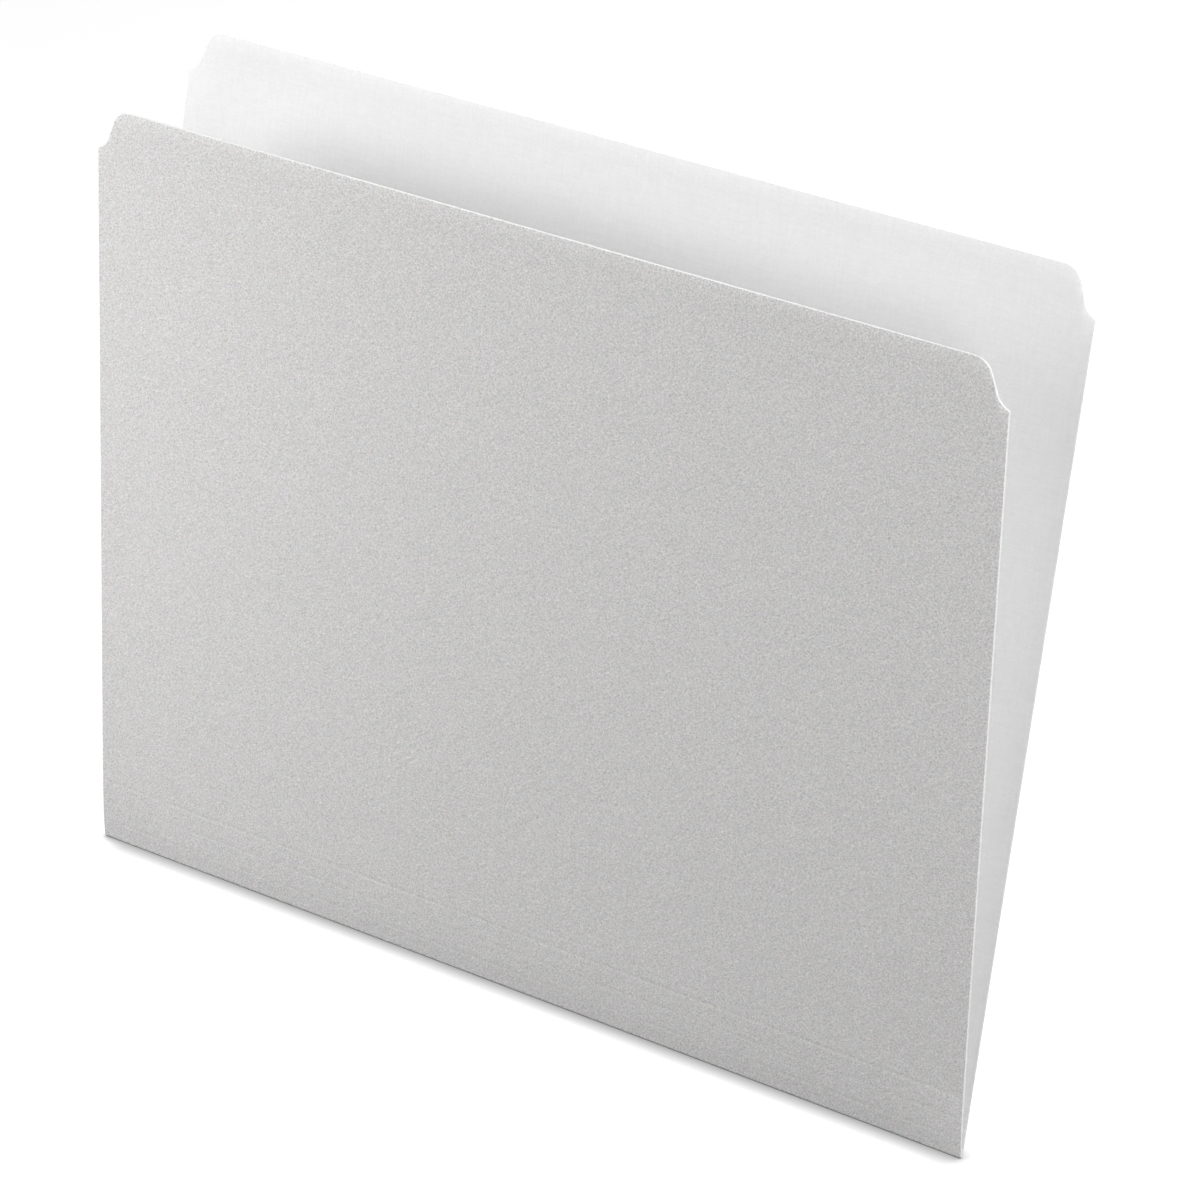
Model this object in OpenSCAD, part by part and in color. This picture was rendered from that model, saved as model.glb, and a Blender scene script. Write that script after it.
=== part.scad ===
// Straight-cut file folder: one creased sheet of two-ply board, standing open on its fold.
// X runs along the fold, the front leaf is towards -Y, the rear leaf towards +Y, Z is up.
// The origin is under the middle of the fold.

/* [Sheet] */
// Width of both leaves, along the fold
leaf_w = 298.45; // [120:0.05:420]
// Height of the rear leaf, fold to top edge
rear_h = 241.3; // [120:0.1:360]
// Height of the front leaf, fold to top edge, measured along the sheet
front_h = 225.4; // [120:0.1:360]
// Thickness of the white board ply
board_t = 0.5; // [0.2:0.05:1.0]
// Thickness of the grey facing ply on the outside
facing_t = 0.1; // [0.05:0.01:0.3]

/* [Tab ends] */
// Drop from the top edge to the shoulder at each side
tab_h = 12.3; // [10:0.1:25]
// Slant of the tab's end from the vertical, degrees
tab_slant = 20; // [5:1:40]
// Radius of the tab's outer corner
tab_corner_r = 6; // [2:0.1:7]
// Radius of the hollow above the shoulder
tab_root_r = 6.35; // [2:0.05:7]
// Fall of the shoulder where it meets the side edge, degrees
shoulder_fall = 18; // [0:1:25]

/* [Creases] */
// Distance from the fold to the first score
first_score = 5.4; // [4:0.05:15]
// Distance from each score to the next
score_pitch = 6.35; // [4:0.05:15]
// Radius of the bead that each score raises
score_bead_r = 0.3; // [0.1:0.01:0.3]
// Depth of the groove that each score leaves on the outside
score_groove = 0.1; // [0.02:0.01:0.2]
// Running gap between a crease's bead and the ply ends that turn about it
crease_gap = 0.03; // [0.01:0.01:0.1]

/* [Stance] */
// Lean of the rear leaf from the vertical, degrees
rear_lean = 5; // [1:0.5:40]
// Lean of the front leaf from the vertical, degrees
front_lean = 4.5; // [1:0.1:40]
// Inward bend at the lower score, where the foot turns in to the fold, degrees
lower_bend = 3; // [1:0.5:25]
// Inward bend at the middle score, degrees
middle_bend = 1; // [0.5:0.5:25]
// Inward bend at the upper score, degrees
upper_bend = 1; // [0.5:0.5:25]

/* [Hidden] */
$fn = 64;
grey = "#c9c8c7";
white = "#f3f3f1";
score_count = 3;
sheet_t = board_t + facing_t;
// The leaves' inner faces meet on the fold's axis, so the fold's bead is as thick as the sheet on each side.
fold_bead_r = sheet_t;
fold_stop = fold_bead_r + crease_gap;
score_stop = score_bead_r + crease_gap;
// How far a score's axis lies outwards from the inner face
score_axis_out = sheet_t - score_groove - score_bead_r;
score_bends = [lower_bend, middle_bend, upper_bend];
strip_lean = front_lean + lower_bend + middle_bend + upper_bend;
front_panel_h = front_h - first_score - (score_count - 1) * score_pitch;
// Straight run of the tab's end, between its two arcs
tab_run = (tab_h - tab_corner_r * (1 - sin(tab_slant))
  - tab_root_r * (cos(shoulder_fall) - sin(tab_slant))) / cos(tab_slant);
// Distance from the side edge to where the top edge becomes straight
tab_inset = (tab_corner_r + tab_root_r) * cos(tab_slant) + tab_run * sin(tab_slant)
  - tab_root_r * sin(shoulder_fall);
// Straight pieces in each of the tab's arcs
arc_steps = 14;

// Points of an arc from one angle to another about a centre
function arc(centre, r, from, to) = [
  for (i = [0 : arc_steps])
    let (a = from + (to - from) * i / arc_steps) centre + r * [cos(a), sin(a)]
];

// A tab's end from its shoulder up to the top edge: x inwards from the side edge, y down from the top.
function tab_end() =
  let (
    slant_side = [-cos(tab_slant), sin(tab_slant)],
    corner_c = [tab_inset, -tab_corner_r],
    run_top = corner_c + tab_corner_r * slant_side,
    run_foot = run_top - tab_run * [sin(tab_slant), cos(tab_slant)],
    root_c = run_foot + tab_root_r * slant_side
  )
  concat(
    arc(root_c, tab_root_r, shoulder_fall - 90, -tab_slant),
    arc(corner_c, tab_corner_r, 180 - tab_slant, 90)
  );

// A panel of the sheet between two heights.
module strip_outline(foot, top) {
  translate([-leaf_w / 2, foot]) square([leaf_w, top - foot]);
}

// A panel whose top edge is a full-width tab with both corners cut.
module tabbed_outline(foot, top) {
  end = tab_end();
  last = len(end) - 1;
  polygon(concat(
    [[leaf_w / 2, foot], [-leaf_w / 2, foot]],
    [for (p = end) [p.x - leaf_w / 2, top + p.y]],
    [for (i = [0 : last]) [leaf_w / 2 - end[last - i].x, top + end[last - i].y]]
  ));
}

// Stands an outline up as one ply: its inner side lies "out" from the panel's inner face.
module ply(out, thickness) {
  rotate([90, 0, 0]) translate([0, 0, out]) linear_extrude(thickness) children();
}
module board_ply(inner = 0) { color(white) ply(-inner, board_t) children(); }
module facing_ply(inner = 0) { color(grey) ply(board_t - inner, facing_t) children(); }

// A crease's bead along the whole width, about the frame's own X axis.
module crease_bead(r) {
  color(grey) translate([-leaf_w / 2, 0, 0]) rotate([0, 90, 0]) cylinder(r = r, h = leaf_w);
}

// Frames: the fold's axis, the rear leaf, and the front sheet after so many scores.
module at_fold() { translate([0, 0, fold_bead_r]) children(); }
module on_rear() { at_fold() mirror([0, 1, 0]) rotate([rear_lean, 0, 0]) children(); }
module on_front(scores) {
  if (scores == 0)
    at_fold() rotate([strip_lean, 0, 0]) children();
  else
    on_front(scores - 1)
      translate(scores == 1 ? [0, -score_axis_out, first_score] : [0, 0, score_pitch])
        rotate([-score_bends[scores - 1], 0, 0]) children();
}

// Rear leaf, in two plies
module rear_outline() { tabbed_outline(fold_stop, rear_h); }
module rear_board() { on_rear() board_ply() rear_outline(); }
module rear_facing() { on_rear() facing_ply() rear_outline(); }

// Fold between the rear leaf and the lowest strip
module fold_bead() { at_fold() crease_bead(fold_bead_r); }

// Lowest strip, from the fold to the first score
module lower_strip_outline() { strip_outline(fold_stop, first_score - score_stop); }
module lower_strip_board() { on_front(0) board_ply() lower_strip_outline(); }
module lower_strip_facing() { on_front(0) facing_ply() lower_strip_outline(); }
module lower_score_bead() { on_front(1) crease_bead(score_bead_r); }

// Middle and upper strips, each from one score to the next
module score_strip_outline() { strip_outline(score_stop, score_pitch - score_stop); }
module middle_strip_board() { on_front(1) board_ply(score_axis_out) score_strip_outline(); }
module middle_strip_facing() { on_front(1) facing_ply(score_axis_out) score_strip_outline(); }
module middle_score_bead() { on_front(2) crease_bead(score_bead_r); }
module upper_strip_board() { on_front(2) board_ply(score_axis_out) score_strip_outline(); }
module upper_strip_facing() { on_front(2) facing_ply(score_axis_out) score_strip_outline(); }
module upper_score_bead() { on_front(3) crease_bead(score_bead_r); }

// Front leaf above the last score, in two plies
module front_outline() { tabbed_outline(score_stop, front_panel_h); }
module front_board() { on_front(score_count) board_ply(score_axis_out) front_outline(); }
module front_facing() { on_front(score_count) facing_ply(score_axis_out) front_outline(); }

rear_board();
rear_facing();
fold_bead();
lower_strip_board();
lower_strip_facing();
lower_score_bead();
middle_strip_board();
middle_strip_facing();
middle_score_bead();
upper_strip_board();
upper_strip_facing();
upper_score_bead();
front_board();
front_facing();
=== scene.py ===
import math

import bpy
import numpy as np
from mathutils import Matrix, Vector


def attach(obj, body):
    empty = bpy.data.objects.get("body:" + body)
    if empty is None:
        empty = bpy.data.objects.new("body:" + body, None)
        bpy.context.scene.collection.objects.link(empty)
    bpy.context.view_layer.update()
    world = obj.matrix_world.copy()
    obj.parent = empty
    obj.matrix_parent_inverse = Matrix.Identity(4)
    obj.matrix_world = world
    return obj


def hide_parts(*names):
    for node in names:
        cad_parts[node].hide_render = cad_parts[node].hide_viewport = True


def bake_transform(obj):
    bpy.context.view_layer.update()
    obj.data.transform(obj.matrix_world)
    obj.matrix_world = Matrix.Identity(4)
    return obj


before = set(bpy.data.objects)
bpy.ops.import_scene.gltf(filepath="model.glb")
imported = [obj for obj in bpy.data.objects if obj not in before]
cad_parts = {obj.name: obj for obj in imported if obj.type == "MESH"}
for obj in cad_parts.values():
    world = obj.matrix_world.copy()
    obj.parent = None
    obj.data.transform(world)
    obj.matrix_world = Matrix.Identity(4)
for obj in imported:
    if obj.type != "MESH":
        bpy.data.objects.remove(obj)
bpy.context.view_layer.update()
print("frame loaded,", len(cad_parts), "solids")

scene = bpy.context.scene
scene.view_settings.view_transform = "Standard"
mm = 0.001


# papers: grain and weave as shared groups, then the three finishes

def newGroup(name, inputs, outputs):
    group = bpy.data.node_groups.new(name, "ShaderNodeTree")
    for label, value in inputs:
        socket = group.interface.new_socket(label, in_out="INPUT", socket_type="NodeSocketFloat")
        socket.default_value = value
    for label in outputs:
        group.interface.new_socket(label, in_out="OUTPUT", socket_type="NodeSocketFloat")
    return group, group.nodes.new("NodeGroupInput"), group.nodes.new("NodeGroupOutput")


def put(tree, kind, links=(), **values):
    # one node, its plain settings, and what feeds its inputs
    node = tree.nodes.new(kind)
    for key, value in values.items():
        setattr(node, key, value)
    for socket, source in links:
        if isinstance(source, bpy.types.NodeSocket):
            tree.links.new(source, node.inputs[socket])
        else:
            node.inputs[socket].default_value = source
    return node


def maths(tree, operation, a, b=0.0, c=0.0):
    return put(tree, "ShaderNodeMath", [(0, a), (1, b), (2, c)], operation=operation).outputs[0]


def centred(tree, value, amount):
    # a 0..1 pattern turned into -amount..amount
    return maths(tree, "MULTIPLY", maths(tree, "MULTIPLY_ADD", value, 2.0, -1.0), amount)


def noise(tree, vector, scale, detail=1.0, roughness=0.5):
    node = put(tree, "ShaderNodeTexNoise",
               [("Vector", vector), ("Scale", scale), ("Detail", detail), ("Roughness", roughness)])
    return node.outputs["Fac"]


# fibres lie a little along the fold; the pattern is turned so that it never lines up with the sheet
mottlePattern = {"stretch": (1.0, 1.0, 1.15), "turn": (0.6, 0.5, 0.4), "cloudScale": 0.03,
                 "fleckScale": 0.5, "fleckEdge": 0.32, "fleckCore": 0.18, "fleckRarity": 0.93}


def buildMottle():
    # fine pulp grain, soft clouds and a few pale flecks; sizes are cells per metre
    tree, given, result = newGroup(
        "paperMottle",
        [("Grain", 1500.0), ("Contrast", 0.05), ("Clouds", 0.01), ("Flecks", 0.05)],
        ["Shade", "Height"])
    place = put(tree, "ShaderNodeMapping",
                [("Vector", put(tree, "ShaderNodeTexCoord").outputs["Object"]),
                 ("Scale", mottlePattern["stretch"])])
    place = put(tree, "ShaderNodeMapping",
                [("Vector", place.outputs[0]), ("Rotation", mottlePattern["turn"])]).outputs[0]
    grain = noise(tree, place, given.outputs["Grain"], 1.0, 0.6)
    cloudScale = maths(tree, "MULTIPLY", given.outputs["Grain"], mottlePattern["cloudScale"])
    clouds = noise(tree, place, cloudScale, 3.0, 0.55)
    fleckScale = maths(tree, "MULTIPLY", given.outputs["Grain"], mottlePattern["fleckScale"])
    dots = put(tree, "ShaderNodeTexVoronoi", [("Vector", place), ("Scale", fleckScale)])
    near = put(tree, "ShaderNodeMapRange",
               [("Value", dots.outputs["Distance"]), ("From Min", mottlePattern["fleckEdge"]),
                ("From Max", mottlePattern["fleckCore"])]).outputs[0]
    rare = put(tree, "ShaderNodeSeparateColor", [("Color", dots.outputs["Color"])]).outputs[0]
    chosen = maths(tree, "GREATER_THAN", rare, mottlePattern["fleckRarity"])
    fleck = maths(tree, "MULTIPLY", near, chosen)
    shade = maths(tree, "ADD", 1.0, centred(tree, grain, given.outputs["Contrast"]))
    shade = maths(tree, "ADD", shade, centred(tree, clouds, given.outputs["Clouds"]))
    shade = maths(tree, "MULTIPLY_ADD", fleck, given.outputs["Flecks"], shade)
    tree.links.new(shade, result.inputs["Shade"])
    tree.links.new(grain, result.inputs["Height"])
    return tree


threadDraw = 0.14  # how far a thread is drawn out along its length


def buildWeave():
    # long threads up and across, as the felt of a board machine leaves them
    tree, given, result = newGroup(
        "feltWeave", [("Threads", 1200.0), ("Contrast", 0.02)], ["Shade", "Height"])
    place = put(tree, "ShaderNodeSeparateXYZ",
                [("Vector", put(tree, "ShaderNodeTexCoord").outputs["Object"])]).outputs
    fine = [maths(tree, "MULTIPLY", place[k], given.outputs["Threads"]) for k in ("X", "Z")]
    drawn = [maths(tree, "MULTIPLY", v, threadDraw) for v in fine]
    upright = put(tree, "ShaderNodeCombineXYZ", [("X", fine[0]), ("Y", drawn[1])]).outputs[0]
    across = put(tree, "ShaderNodeCombineXYZ", [("X", drawn[0]), ("Y", fine[1])]).outputs[0]
    threads = maths(tree, "MULTIPLY",
                    maths(tree, "ADD", noise(tree, upright, 1.0), noise(tree, across, 1.0)), 0.5)
    shade = maths(tree, "ADD", 1.0, centred(tree, threads, given.outputs["Contrast"]))
    tree.links.new(shade, result.inputs["Shade"])
    tree.links.new(threads, result.inputs["Height"])
    return tree


mottleGroup = buildMottle()
weaveGroup = buildWeave()


def placeGroup(tree, group, values):
    node = tree.nodes.new("ShaderNodeGroup")
    node.node_tree = group
    for label, value in values.items():
        node.inputs[label].default_value = value
    return node.outputs


def shaded(tree, colour, shade):
    # the paper's colour lightened and darkened by a pattern
    return put(tree, "ShaderNodeVectorMath", [(0, colour), (1, shade)], operation="MULTIPLY").outputs[0]


facingLook = {"colour": (0.733, 0.7235, 0.721), "specular": 0.25, "roughness": 0.8, "roughSwing": 0.1,
              "bumpDistance": 0.00004, "bumpStrength": 0.35,
              "mottle": {"Grain": 2000.0, "Contrast": 0.5, "Clouds": 0.015, "Flecks": 0.06}}
boardLook = {"colour": (0.86, 0.86, 0.86), "specular": 0.25, "roughness": 0.78, "roughSwing": 0.12,
             "bumpDistance": 0.00004, "bumpStrength": 0.3,
             "mottle": {"Grain": 1600.0, "Contrast": 0.05, "Clouds": 0.01, "Flecks": 0.0},
             "weave": {"Threads": 1000.0, "Contrast": 0.06}}
# the cut edge: the board's white core, made lighter than the board itself as a painted highlight so that the
# rims read bright
edgeLookHighlit = {"colour": (0.96, 0.96, 0.955), "specular": 0.2, "roughness": 0.9, "roughSwing": 0.1,
            "bumpDistance": 0.00002, "bumpStrength": 0.6,
            "mottle": {"Grain": 900.0, "Contrast": 0.15, "Clouds": 0.02, "Flecks": 0.0}}


def makePaper(name, look):
    # grain on every paper, and the felt's weave where the look has one
    material = bpy.data.materials.new(name)
    material.use_nodes = True
    material.diffuse_color = (*look["colour"], 1.0)
    tree = material.node_tree
    shader = tree.nodes["Principled BSDF"]
    shader.inputs["Specular IOR Level"].default_value = look["specular"]
    mottle = placeGroup(tree, mottleGroup, look["mottle"])
    shade, height = mottle["Shade"], mottle["Height"]
    if "weave" in look:
        weave = placeGroup(tree, weaveGroup, look["weave"])
        shade, height = maths(tree, "MULTIPLY", shade, weave["Shade"]), weave["Height"]
    tree.links.new(shaded(tree, look["colour"], shade), shader.inputs["Base Color"])
    smoothest = look["roughness"] - look["roughSwing"] / 2
    rough = maths(tree, "MULTIPLY_ADD", height, look["roughSwing"], smoothest)
    tree.links.new(rough, shader.inputs["Roughness"])
    bump = put(tree, "ShaderNodeBump", [("Height", height), ("Distance", look["bumpDistance"]),
                                        ("Strength", look["bumpStrength"])])
    tree.links.new(bump.outputs["Normal"], shader.inputs["Normal"])
    return material


greyFacing = makePaper("greyFacing", facingLook)
whiteBoard = makePaper("whiteBoard", boardLook)
# cut edges: the white core plus a painted highlight
cutEdgeHighlit = makePaper("cutEdgeHighlit", edgeLookHighlit)
print("materials made: greyFacing, whiteBoard, cutEdgeHighlit")


# the sheet, in millimetres along and across itself

sheet = {"width": 298.45, "board": 0.5, "facing": 0.1, "edgeRound": 0.05, "edgeStep": 0.015,
         "cutBevel": 0.13, "facingBevel": 1.15, "columnsFrom": 20.0, "columnStep": 4.5, "sharpFrom": 50.0}
sheetT = sheet["board"] + sheet["facing"]
halfWidth = sheet["width"] / 2
foldAxis = np.array([0.0, 0.0, sheetT])
rear, front = 1.0, -1.0  # which way a leaf leans, along Y


def upOf(lean, side):
    a = math.radians(lean)
    return np.array([0.0, side * math.sin(a), math.cos(a)])


def outOf(lean, side):
    a = math.radians(lean)
    return np.array([0.0, side * math.cos(a), -math.sin(a)])


def smooth(t):
    t = np.clip(t, 0.0, 1.0)
    return t * t * (3.0 - 2.0 * t)


def onPanel(origin, lean, side):
    # x along the fold, s up the sheet, n outwards from the inner face
    up, out = upOf(lean, side), outOf(lean, side)

    def place(x, s, n):
        return (origin + s[..., None] * up + n[..., None] * out
                + x[..., None] * np.array([1.0, 0.0, 0.0]))
    return place


def edgeRound(distance):
    r = sheet["edgeRound"]
    inside = r - np.clip(distance, 0.0, r)
    return r - np.sqrt(r * r - inside * inside)


def columnsAcross(stops, trim):
    # columns from side edge to side edge, close together near the cut
    cut = [trim, trim + sheet["edgeStep"], trim + sheet["edgeRound"]]
    plain = np.arange(sheet["columnsFrom"], halfWidth, sheet["columnStep"])
    half = np.concatenate([cut, stops, plain, [halfWidth]])
    return np.concatenate([half - halfWidth, (halfWidth - half)[-2::-1]])


def plyMesh(name, inner, outer, faceMaterial, rimMaterial):
    # a closed ply from two grids of points; the rim may have its own finish
    nx, ns = inner.shape[:2]
    points = np.concatenate([inner.reshape(-1, 3), outer.reshape(-1, 3)]) * mm
    index = np.arange(nx * ns).reshape(nx, ns)
    far = index + nx * ns

    def quads(a, b, c, d):
        return np.stack([a, b, c, d], axis=-1).reshape(-1, 4)

    inside = quads(index[:-1, :-1], index[:-1, 1:], index[1:, 1:], index[1:, :-1])
    outside = quads(far[:-1, :-1], far[1:, :-1], far[1:, 1:], far[:-1, 1:])
    ring = np.concatenate([index[:-1, 0], index[-1, :-1], index[:0:-1, -1], index[0, :0:-1]])
    turn = np.roll(ring, -1)
    rim = quads(ring, turn, turn + nx * ns, ring + nx * ns)
    faces = np.concatenate([inside, outside, rim])
    mesh = bpy.data.meshes.new(name)
    mesh.from_pydata(points.tolist(), [], faces.tolist())
    mesh.materials.append(faceMaterial)
    mesh.materials.append(rimMaterial)
    slots = np.concatenate([np.zeros(len(inside) + len(outside)), np.ones(len(rim))]).astype(np.int32)
    mesh.polygons.foreach_set("material_index", slots)
    mesh.update()
    volume = sum(p.area * p.normal.dot(p.center) for p in mesh.polygons)
    if volume < 0:
        mesh.flip_normals()
    mesh.shade_smooth()
    mesh.set_sharp_from_angle(angle=math.radians(sheet["sharpFrom"]))
    piece = bpy.data.objects.new(name, mesh)
    scene.collection.objects.link(piece)
    return piece


# the rim's default finish is the cut edge with its painted highlight
def makePlies(label, grid, place, innerFrom=0.0, lift=None, rim=cutEdgeHighlit):
    # both plies of one part of the sheet: the white board, and the grey facing on its outside;
    # the cut is bevelled, so that each face is a little smaller than the one behind it
    faces = []
    for trim, n, turned in ((0.0, innerFrom, 1.0), (sheet["cutBevel"], sheet["board"], 0.0),
                            (sheet["cutBevel"] * sheet["facingBevel"], sheetT, -1.0)):
        x, s, inset = grid(trim)
        height = n + turned * edgeRound(inset) + (lift(x, s) if lift else 0.0)
        faces.append(place(x, s, height + 0.0 * s))
    board = plyMesh(label + "Board", faces[0], faces[1], whiteBoard, rim)
    facing = plyMesh(label + "Facing", faces[1], faces[2], greyFacing, greyFacing)
    return board, facing


tabEnd = {"drop": 12.3, "slant": 20.0, "cornerR": 6.0, "rootR": 6.35, "fall": 18.0, "steps": 14,
          "runSteps": 5}


def tabProfile(trim):
    # the tab's end: distance in from the side edge, and drop below the top edge, less the trim
    slant, fall = math.radians(tabEnd["slant"]), math.radians(tabEnd["fall"])
    corner, root = tabEnd["cornerR"], tabEnd["rootR"]
    run = (tabEnd["drop"] - corner * (1 - math.sin(slant))
           - root * (math.cos(fall) - math.sin(slant))) / math.cos(slant)
    inset = (corner + root) * math.cos(slant) + run * math.sin(slant) - root * math.sin(fall)
    side = np.array([-math.cos(slant), math.sin(slant)])
    cornerC = np.array([inset, -corner])
    runTop = cornerC + corner * side
    runFoot = runTop - run * np.array([math.sin(slant), math.cos(slant)])
    rootC = runFoot + root * side

    def arc(centre, r, start, end):
        a = np.linspace(start, end, tabEnd["steps"] + 1)
        return centre + r * np.stack([np.cos(a), np.sin(a)], axis=1)

    start = -math.acos((trim - rootC[0]) / (root + trim))
    lower = arc(rootC, root + trim, start, -slant)
    share = np.linspace(0, 1, tabEnd["runSteps"] + 1)[1:-1, None]
    straight = runFoot + share * (runTop - runFoot) - trim * side
    upper = arc(cornerC, corner - trim, math.pi - slant, math.pi / 2)
    return np.concatenate([lower, straight, upper])


def leafGrid(foot, top, rowStep, trim):
    # columns follow the tab's ends, rows fan out between the foot and the top edge
    profile = tabProfile(trim)
    columns = columnsAcross(profile[1:, 0], trim)
    side = halfWidth - np.abs(columns)
    topEdge = top + np.interp(side, profile[:, 0], profile[:, 1])
    count = int((top - foot) / rowStep)
    share = np.linspace(0.0, 1.0, count)
    rows = foot + (topEdge[:, None] - sheet["edgeRound"] - foot) * share
    rows = np.concatenate([rows, topEdge[:, None] - [[sheet["edgeStep"], 0.0]]], axis=1)
    x = np.repeat(columns[:, None], rows.shape[1], axis=1)
    inset = np.minimum(side[:, None] - trim, topEdge[:, None] - rows)
    return x, rows, inset


def stripGrid(rows, trim):
    columns = columnsAcross([], trim)
    x, s = np.meshgrid(columns, rows, indexing="ij")
    return x, s, np.repeat((halfWidth - np.abs(columns) - trim)[:, None], len(rows), axis=1)


bowWaves = {"across": 61.0, "up": 83.0, "upShift": 1.7, "slantShare": 0.6, "slantAcross": 37.0,
            "slantUp": 52.0, "slantShift": 2.3, "rise": 40.0}


def naturalBow(x, s, foot, leaf):
    # board never lies dead flat: long shallow waves, none at the crease
    w, phase = bowWaves, leaf["bowPhase"]
    straight = np.sin(x / w["across"] + phase) * np.cos(s / w["up"] + w["upShift"] * phase)
    slanted = np.sin(x / w["slantAcross"] - s / w["slantUp"] + w["slantShift"] * phase)
    return leaf["bow"] * (straight + w["slantShare"] * slanted) * smooth((s - foot) / w["rise"])


fold = {"flank": 1.0, "innerR": 0.06, "arcRows": 12, "flatRows": 6, "wornEnds": 0.6,
        "blendBelow": 0.7, "blendAbove": 0.52}
score = {"pitches": (5.4, 6.35, 6.35), "bends": (3.0, 1.0, 1.0), "depths": (0.052, 0.044, 0.06),
         "axisOut": 0.2, "flank": 1.0, "turn": 0.33, "halfWidth": 0.85, "rows": 29, "stripRows": 5}
rearLeaf = {"height": 241.3, "lean": 5.0, "rowStep": 4.5, "bow": 0.06, "bowPhase": 0.4}
frontLeaf = {"height": 225.4, "lean": 4.5, "rowStep": 4.5, "bow": 0.06, "bowPhase": 2.1}


def makeRear():
    # the rear leaf's cut edge keeps the board's own colour, without the painted highlight of the other cut
    # edges
    board, facing = makePlies(
        "rear", lambda trim: leafGrid(fold["flank"], rearLeaf["height"], rearLeaf["rowStep"], trim),
        onPanel(foldAxis, rearLeaf["lean"], rear),
        lift=lambda x, s: naturalBow(x, s, fold["flank"], rearLeaf), rim=whiteBoard)
    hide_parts("rear_board")
    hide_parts("rear_facing")
    for piece in (board, facing):
        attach(piece, "rear_leaf")


def makeFoldHalf(label, lean, side):
    # the sheet wraps the fold's axis from its lowest line round to the leaf
    up, out = upOf(lean, side), outOf(lean, side)
    turn = math.radians(90.0 - lean)
    angles = np.linspace(0.0, turn, fold["arcRows"])
    heights = np.linspace(0.0, fold["flank"], fold["flatRows"])[1:]
    directions = np.stack([0 * angles, side * np.sin(angles), -np.cos(angles)], axis=1)
    directions = np.concatenate([directions, np.repeat(out[None], len(heights), axis=0)])
    climbs = np.concatenate([0 * angles, heights])
    worn = np.concatenate([fold["wornEnds"] * (1.0 - np.sin(angles)) ** 2, 0 * heights]) / halfWidth

    def place(x, s, n):
        return (foldAxis + climbs[:, None] * up + n[..., None] * directions
                + (x * (1.0 - worn))[..., None] * np.array([1.0, 0.0, 0.0]))

    core = fold["innerR"] * (1.0 - smooth(climbs / fold["flank"]))
    board, facing = makePlies(label, lambda trim: stripGrid(climbs, trim), place, innerFrom=core)
    for piece in (board, facing):
        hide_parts("fold_bead")
        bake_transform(piece)


def makeScore(label, axis, lean, bend, depth, below, above, bead):
    # a rolled groove outside and a low ridge inside, over a slight bend
    rows = np.linspace(-score["flank"], score["flank"], score["rows"])

    def groove(x, s):
        return -depth * (1.0 - np.clip(s / score["halfWidth"], -1.0, 1.0) ** 2) ** 2

    def place(x, s, n):
        leans = np.radians(lean - bend * smooth((s + score["turn"]) / (2 * score["turn"])))
        up = np.stack([0 * x, front * np.sin(leans), np.cos(leans)], axis=-1)
        out = np.stack([0 * x, front * np.cos(leans), -np.sin(leans)], axis=-1)
        return (axis + s[..., None] * up + (n - score["axisOut"])[..., None] * out
                + x[..., None] * np.array([1.0, 0.0, 0.0]))

    board, facing = makePlies(label, lambda trim: stripGrid(rows, trim), place, lift=groove)
    along = upOf(lean - bend / 2, front) * score["turn"]
    for piece in (board, facing):
        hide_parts(bead)
        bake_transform(piece)


def makeStrip(label, origin, lean, start, end, body):
    rows = np.linspace(start, end, score["stripRows"])
    board, facing = makePlies(label, lambda trim: stripGrid(rows, trim), onPanel(origin, lean, front))
    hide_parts(body + "_board")
    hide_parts(body + "_facing")
    for piece in (board, facing):
        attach(piece, body)


def makeFront():
    # from the fold up: three narrow strips with a score above each, then the leaf
    names = ["lower", "middle", "upper"]
    bodies = [n + "_strip" for n in names] + ["front_leaf"]
    origin, lean = foldAxis, frontLeaf["lean"] + sum(score["bends"])
    makeFoldHalf("foldFront", lean, front)
    start = fold["flank"]
    for k, name in enumerate(names):
        pitch, bend, depth = (score[key][k] for key in ("pitches", "bends", "depths"))
        makeStrip(name + "Strip", origin, lean, start, pitch - score["flank"], bodies[k])
        axis = origin + pitch * upOf(lean, front) + score["axisOut"] * outOf(lean, front)
        makeScore(name + "Score", axis, lean, bend, depth, bodies[k], bodies[k + 1], name + "_score_bead")
        lean -= bend
        origin = axis - score["axisOut"] * outOf(lean, front)
        start = score["flank"]
    top = frontLeaf["height"] - sum(score["pitches"])
    board, facing = makePlies(
        "front", lambda trim: leafGrid(start, top, frontLeaf["rowStep"], trim), onPanel(origin, lean, front),
        lift=lambda x, s: naturalBow(x, s, start, frontLeaf))
    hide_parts("front_board")
    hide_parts("front_facing")
    for piece in (board, facing):
        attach(piece, "front_leaf")


makeRear()
makeFoldHalf("foldRear", rearLeaf["lean"], rear)
makeFront()


# stage

# the contact values shape a painted contact shadow in the floor's glow
floorLook = {"size": 6.0, "drop": 0.0001, "seen": 0.3, "bounce": 0.03, "lift": 0.9,
             "contactReach": 0.008, "contactEnd": 0.002, "contactFade": 0.01, "contactShift": 0.004,
             "contactPower": 1.6, "contactSamples": 16}


def seenDirectly(tree):
    # 1 where the camera, or a gloss or glass, looks straight at it
    path = put(tree, "ShaderNodeLightPath").outputs
    seen = maths(tree, "MAXIMUM", path["Is Camera Ray"], path["Is Glossy Ray"])
    return maths(tree, "MAXIMUM", seen, path["Is Transmission Ray"])


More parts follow.
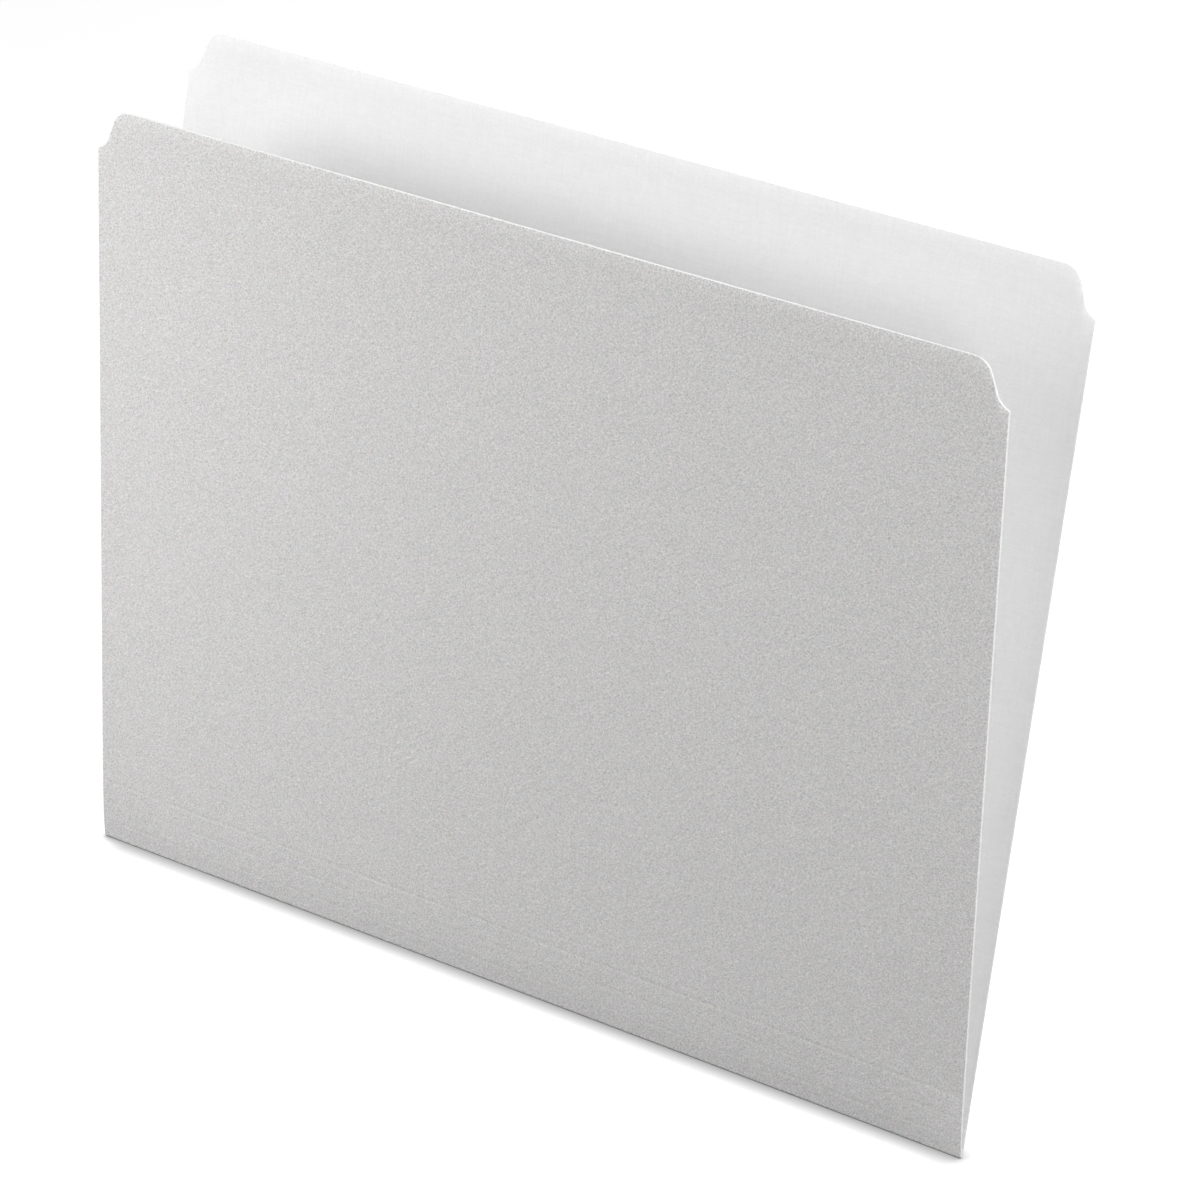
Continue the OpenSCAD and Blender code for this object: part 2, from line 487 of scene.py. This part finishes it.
def makeFloor():
    half = floorLook["size"] / 2
    mesh = bpy.data.meshes.new("floor")
    corners = [(-half, -half, 0), (half, -half, 0), (half, half, 0), (-half, half, 0)]
    mesh.from_pydata(corners, [], [(0, 1, 2, 3)])
    material = bpy.data.materials.new("paleFloor")
    material.use_nodes = True
    tree = material.node_tree
    tree.nodes.clear()
    seen = seenDirectly(tree)
    # pale to the eye, darker to the light that it throws back up at the folder
    grey = maths(tree, "MULTIPLY_ADD", seen, floorLook["seen"] - floorLook["bounce"], floorLook["bounce"])
    plain = put(tree, "ShaderNodeBsdfDiffuse", [("Color", grey)])
    # painted contact shadow: the floor's white glow is dimmed by ambient occlusion where the folder stands
    # close over it, reaching less far towards its ends, the left one first
    place = put(tree, "ShaderNodeSeparateXYZ",
                [("Vector", put(tree, "ShaderNodeTexCoord").outputs["Object"])]).outputs["X"]
    out = maths(tree, "ABSOLUTE", maths(tree, "SUBTRACT", place, floorLook["contactShift"]))
    end = halfWidth * mm + floorLook["contactShift"]
    reach = put(tree, "ShaderNodeMapRange",
                [("Value", out), ("From Min", end - floorLook["contactFade"]), ("From Max", end),
                 ("To Min", floorLook["contactReach"]), ("To Max", floorLook["contactEnd"])]).outputs[0]
    paintedShadowOcclusion = put(tree, "ShaderNodeAmbientOcclusion", [("Distance", reach)],
                    samples=floorLook["contactSamples"])
    # the painted shadow's depth: less glow where the occlusion is strong
    clear = maths(tree, "POWER", paintedShadowOcclusion.outputs["AO"], floorLook["contactPower"])
    white = maths(tree, "MULTIPLY", maths(tree, "MULTIPLY", seen, clear), floorLook["lift"])
    glow = put(tree, "ShaderNodeEmission", [("Strength", white)])
    both = put(tree, "ShaderNodeAddShader", [(0, plain.outputs[0]), (1, glow.outputs[0])])
    put(tree, "ShaderNodeOutputMaterial", [("Surface", both.outputs[0])])
    mesh.materials.append(material)
    floor = bpy.data.objects.new("floor", mesh)
    floor.location.z = -floorLook["drop"]
    scene.collection.objects.link(floor)


def makeSky():
    # white to look at, but it throws no light on the folder
    world = bpy.data.worlds.new("studio")
    world.use_nodes = True
    tree = world.node_tree
    tree.nodes.clear()
    sky = put(tree, "ShaderNodeBackground", [("Color", (1, 1, 1, 1)), ("Strength", seenDirectly(tree))])
    put(tree, "ShaderNodeOutputWorld", [("Surface", sky.outputs[0])])
    scene.world = world


lamps = {
    "leftSoftbox": {"at": (-0.62, -0.42, 0.32), "aim": (-0.12, 0.0, 0.12), "size": 0.45, "watts": 3.36},
    "leftStrip": {"at": (-0.34, -0.34, 0.3), "aim": (-0.1, 0.0, 0.15), "size": 0.25, "watts": 0.12},
    "lowStrip": {"at": (-0.2, -0.32, 0.06), "aim": (-0.1, 0.0, 0.06), "size": 0.12, "watts": 0.13},
    "rightSoftbox": {"at": (1.22, -1.22, 1.12), "aim": (0.0, 0.0, 0.12), "size": 0.9, "watts": 15.2},
    "rightStrip": {"at": (1.15, -1.15, 0.42), "aim": (0.0, 0.0, 0.12), "size": 0.5, "watts": 3.8},
    "sideSoftbox": {"at": (0.9, -0.2, 0.35), "aim": (0.0, 0.0, 0.12), "size": 0.4, "watts": 3.17},
    "topSoftbox": {"at": (0.0, 0.04, 0.62), "aim": (0.0, 0.0, 0.2), "size": 0.2, "watts": 0.9},
    "backSoftbox": {"at": (0.3, 1.5, 0.35), "aim": (0.0, 0.0, 0.12), "size": 0.8, "watts": 17.0},
}


def makeLamps():
    for name, lamp in lamps.items():
        data = bpy.data.lights.new(name, "AREA")
        data.shape, data.size, data.energy = "DISK", lamp["size"], lamp["watts"]
        light = bpy.data.objects.new(name, data)
        at = Vector(lamp["at"])
        light.location = at
        light.rotation_euler = (Vector(lamp["aim"]) - at).to_track_quat("-Z", "Y").to_euler()
        scene.collection.objects.link(light)


view = {"azimuth": 34.31, "elevation": 20.44, "roll": 4.72, "distance": 1.454,
        "aim": (0.019, 0.0, 0.1214), "lens": 161.9, "sensor": 36.0}


def makeCamera():
    a, e, r = (math.radians(view[k]) for k in ("azimuth", "elevation", "roll"))
    back = Vector((math.sin(a) * math.cos(e), -math.cos(a) * math.cos(e), math.sin(e)))
    level = Vector((math.cos(a), math.sin(a), 0.0))
    upright = back.cross(level)
    right = level * math.cos(r) + upright * math.sin(r)
    up = upright * math.cos(r) - level * math.sin(r)
    data = bpy.data.cameras.new("camera")
    data.lens, data.sensor_width, data.sensor_fit = view["lens"], view["sensor"], "AUTO"
    camera = bpy.data.objects.new("camera", data)
    camera.matrix_world = Matrix.Translation(Vector(view["aim"]) + back * view["distance"]) @ Matrix(
        (right, up, back)).transposed().to_4x4()
    scene.collection.objects.link(camera)
    scene.camera = camera


makeFloor()
makeSky()
makeLamps()
makeCamera()
print("stage made: floor, sky,", len(lamps), "lamps, camera")
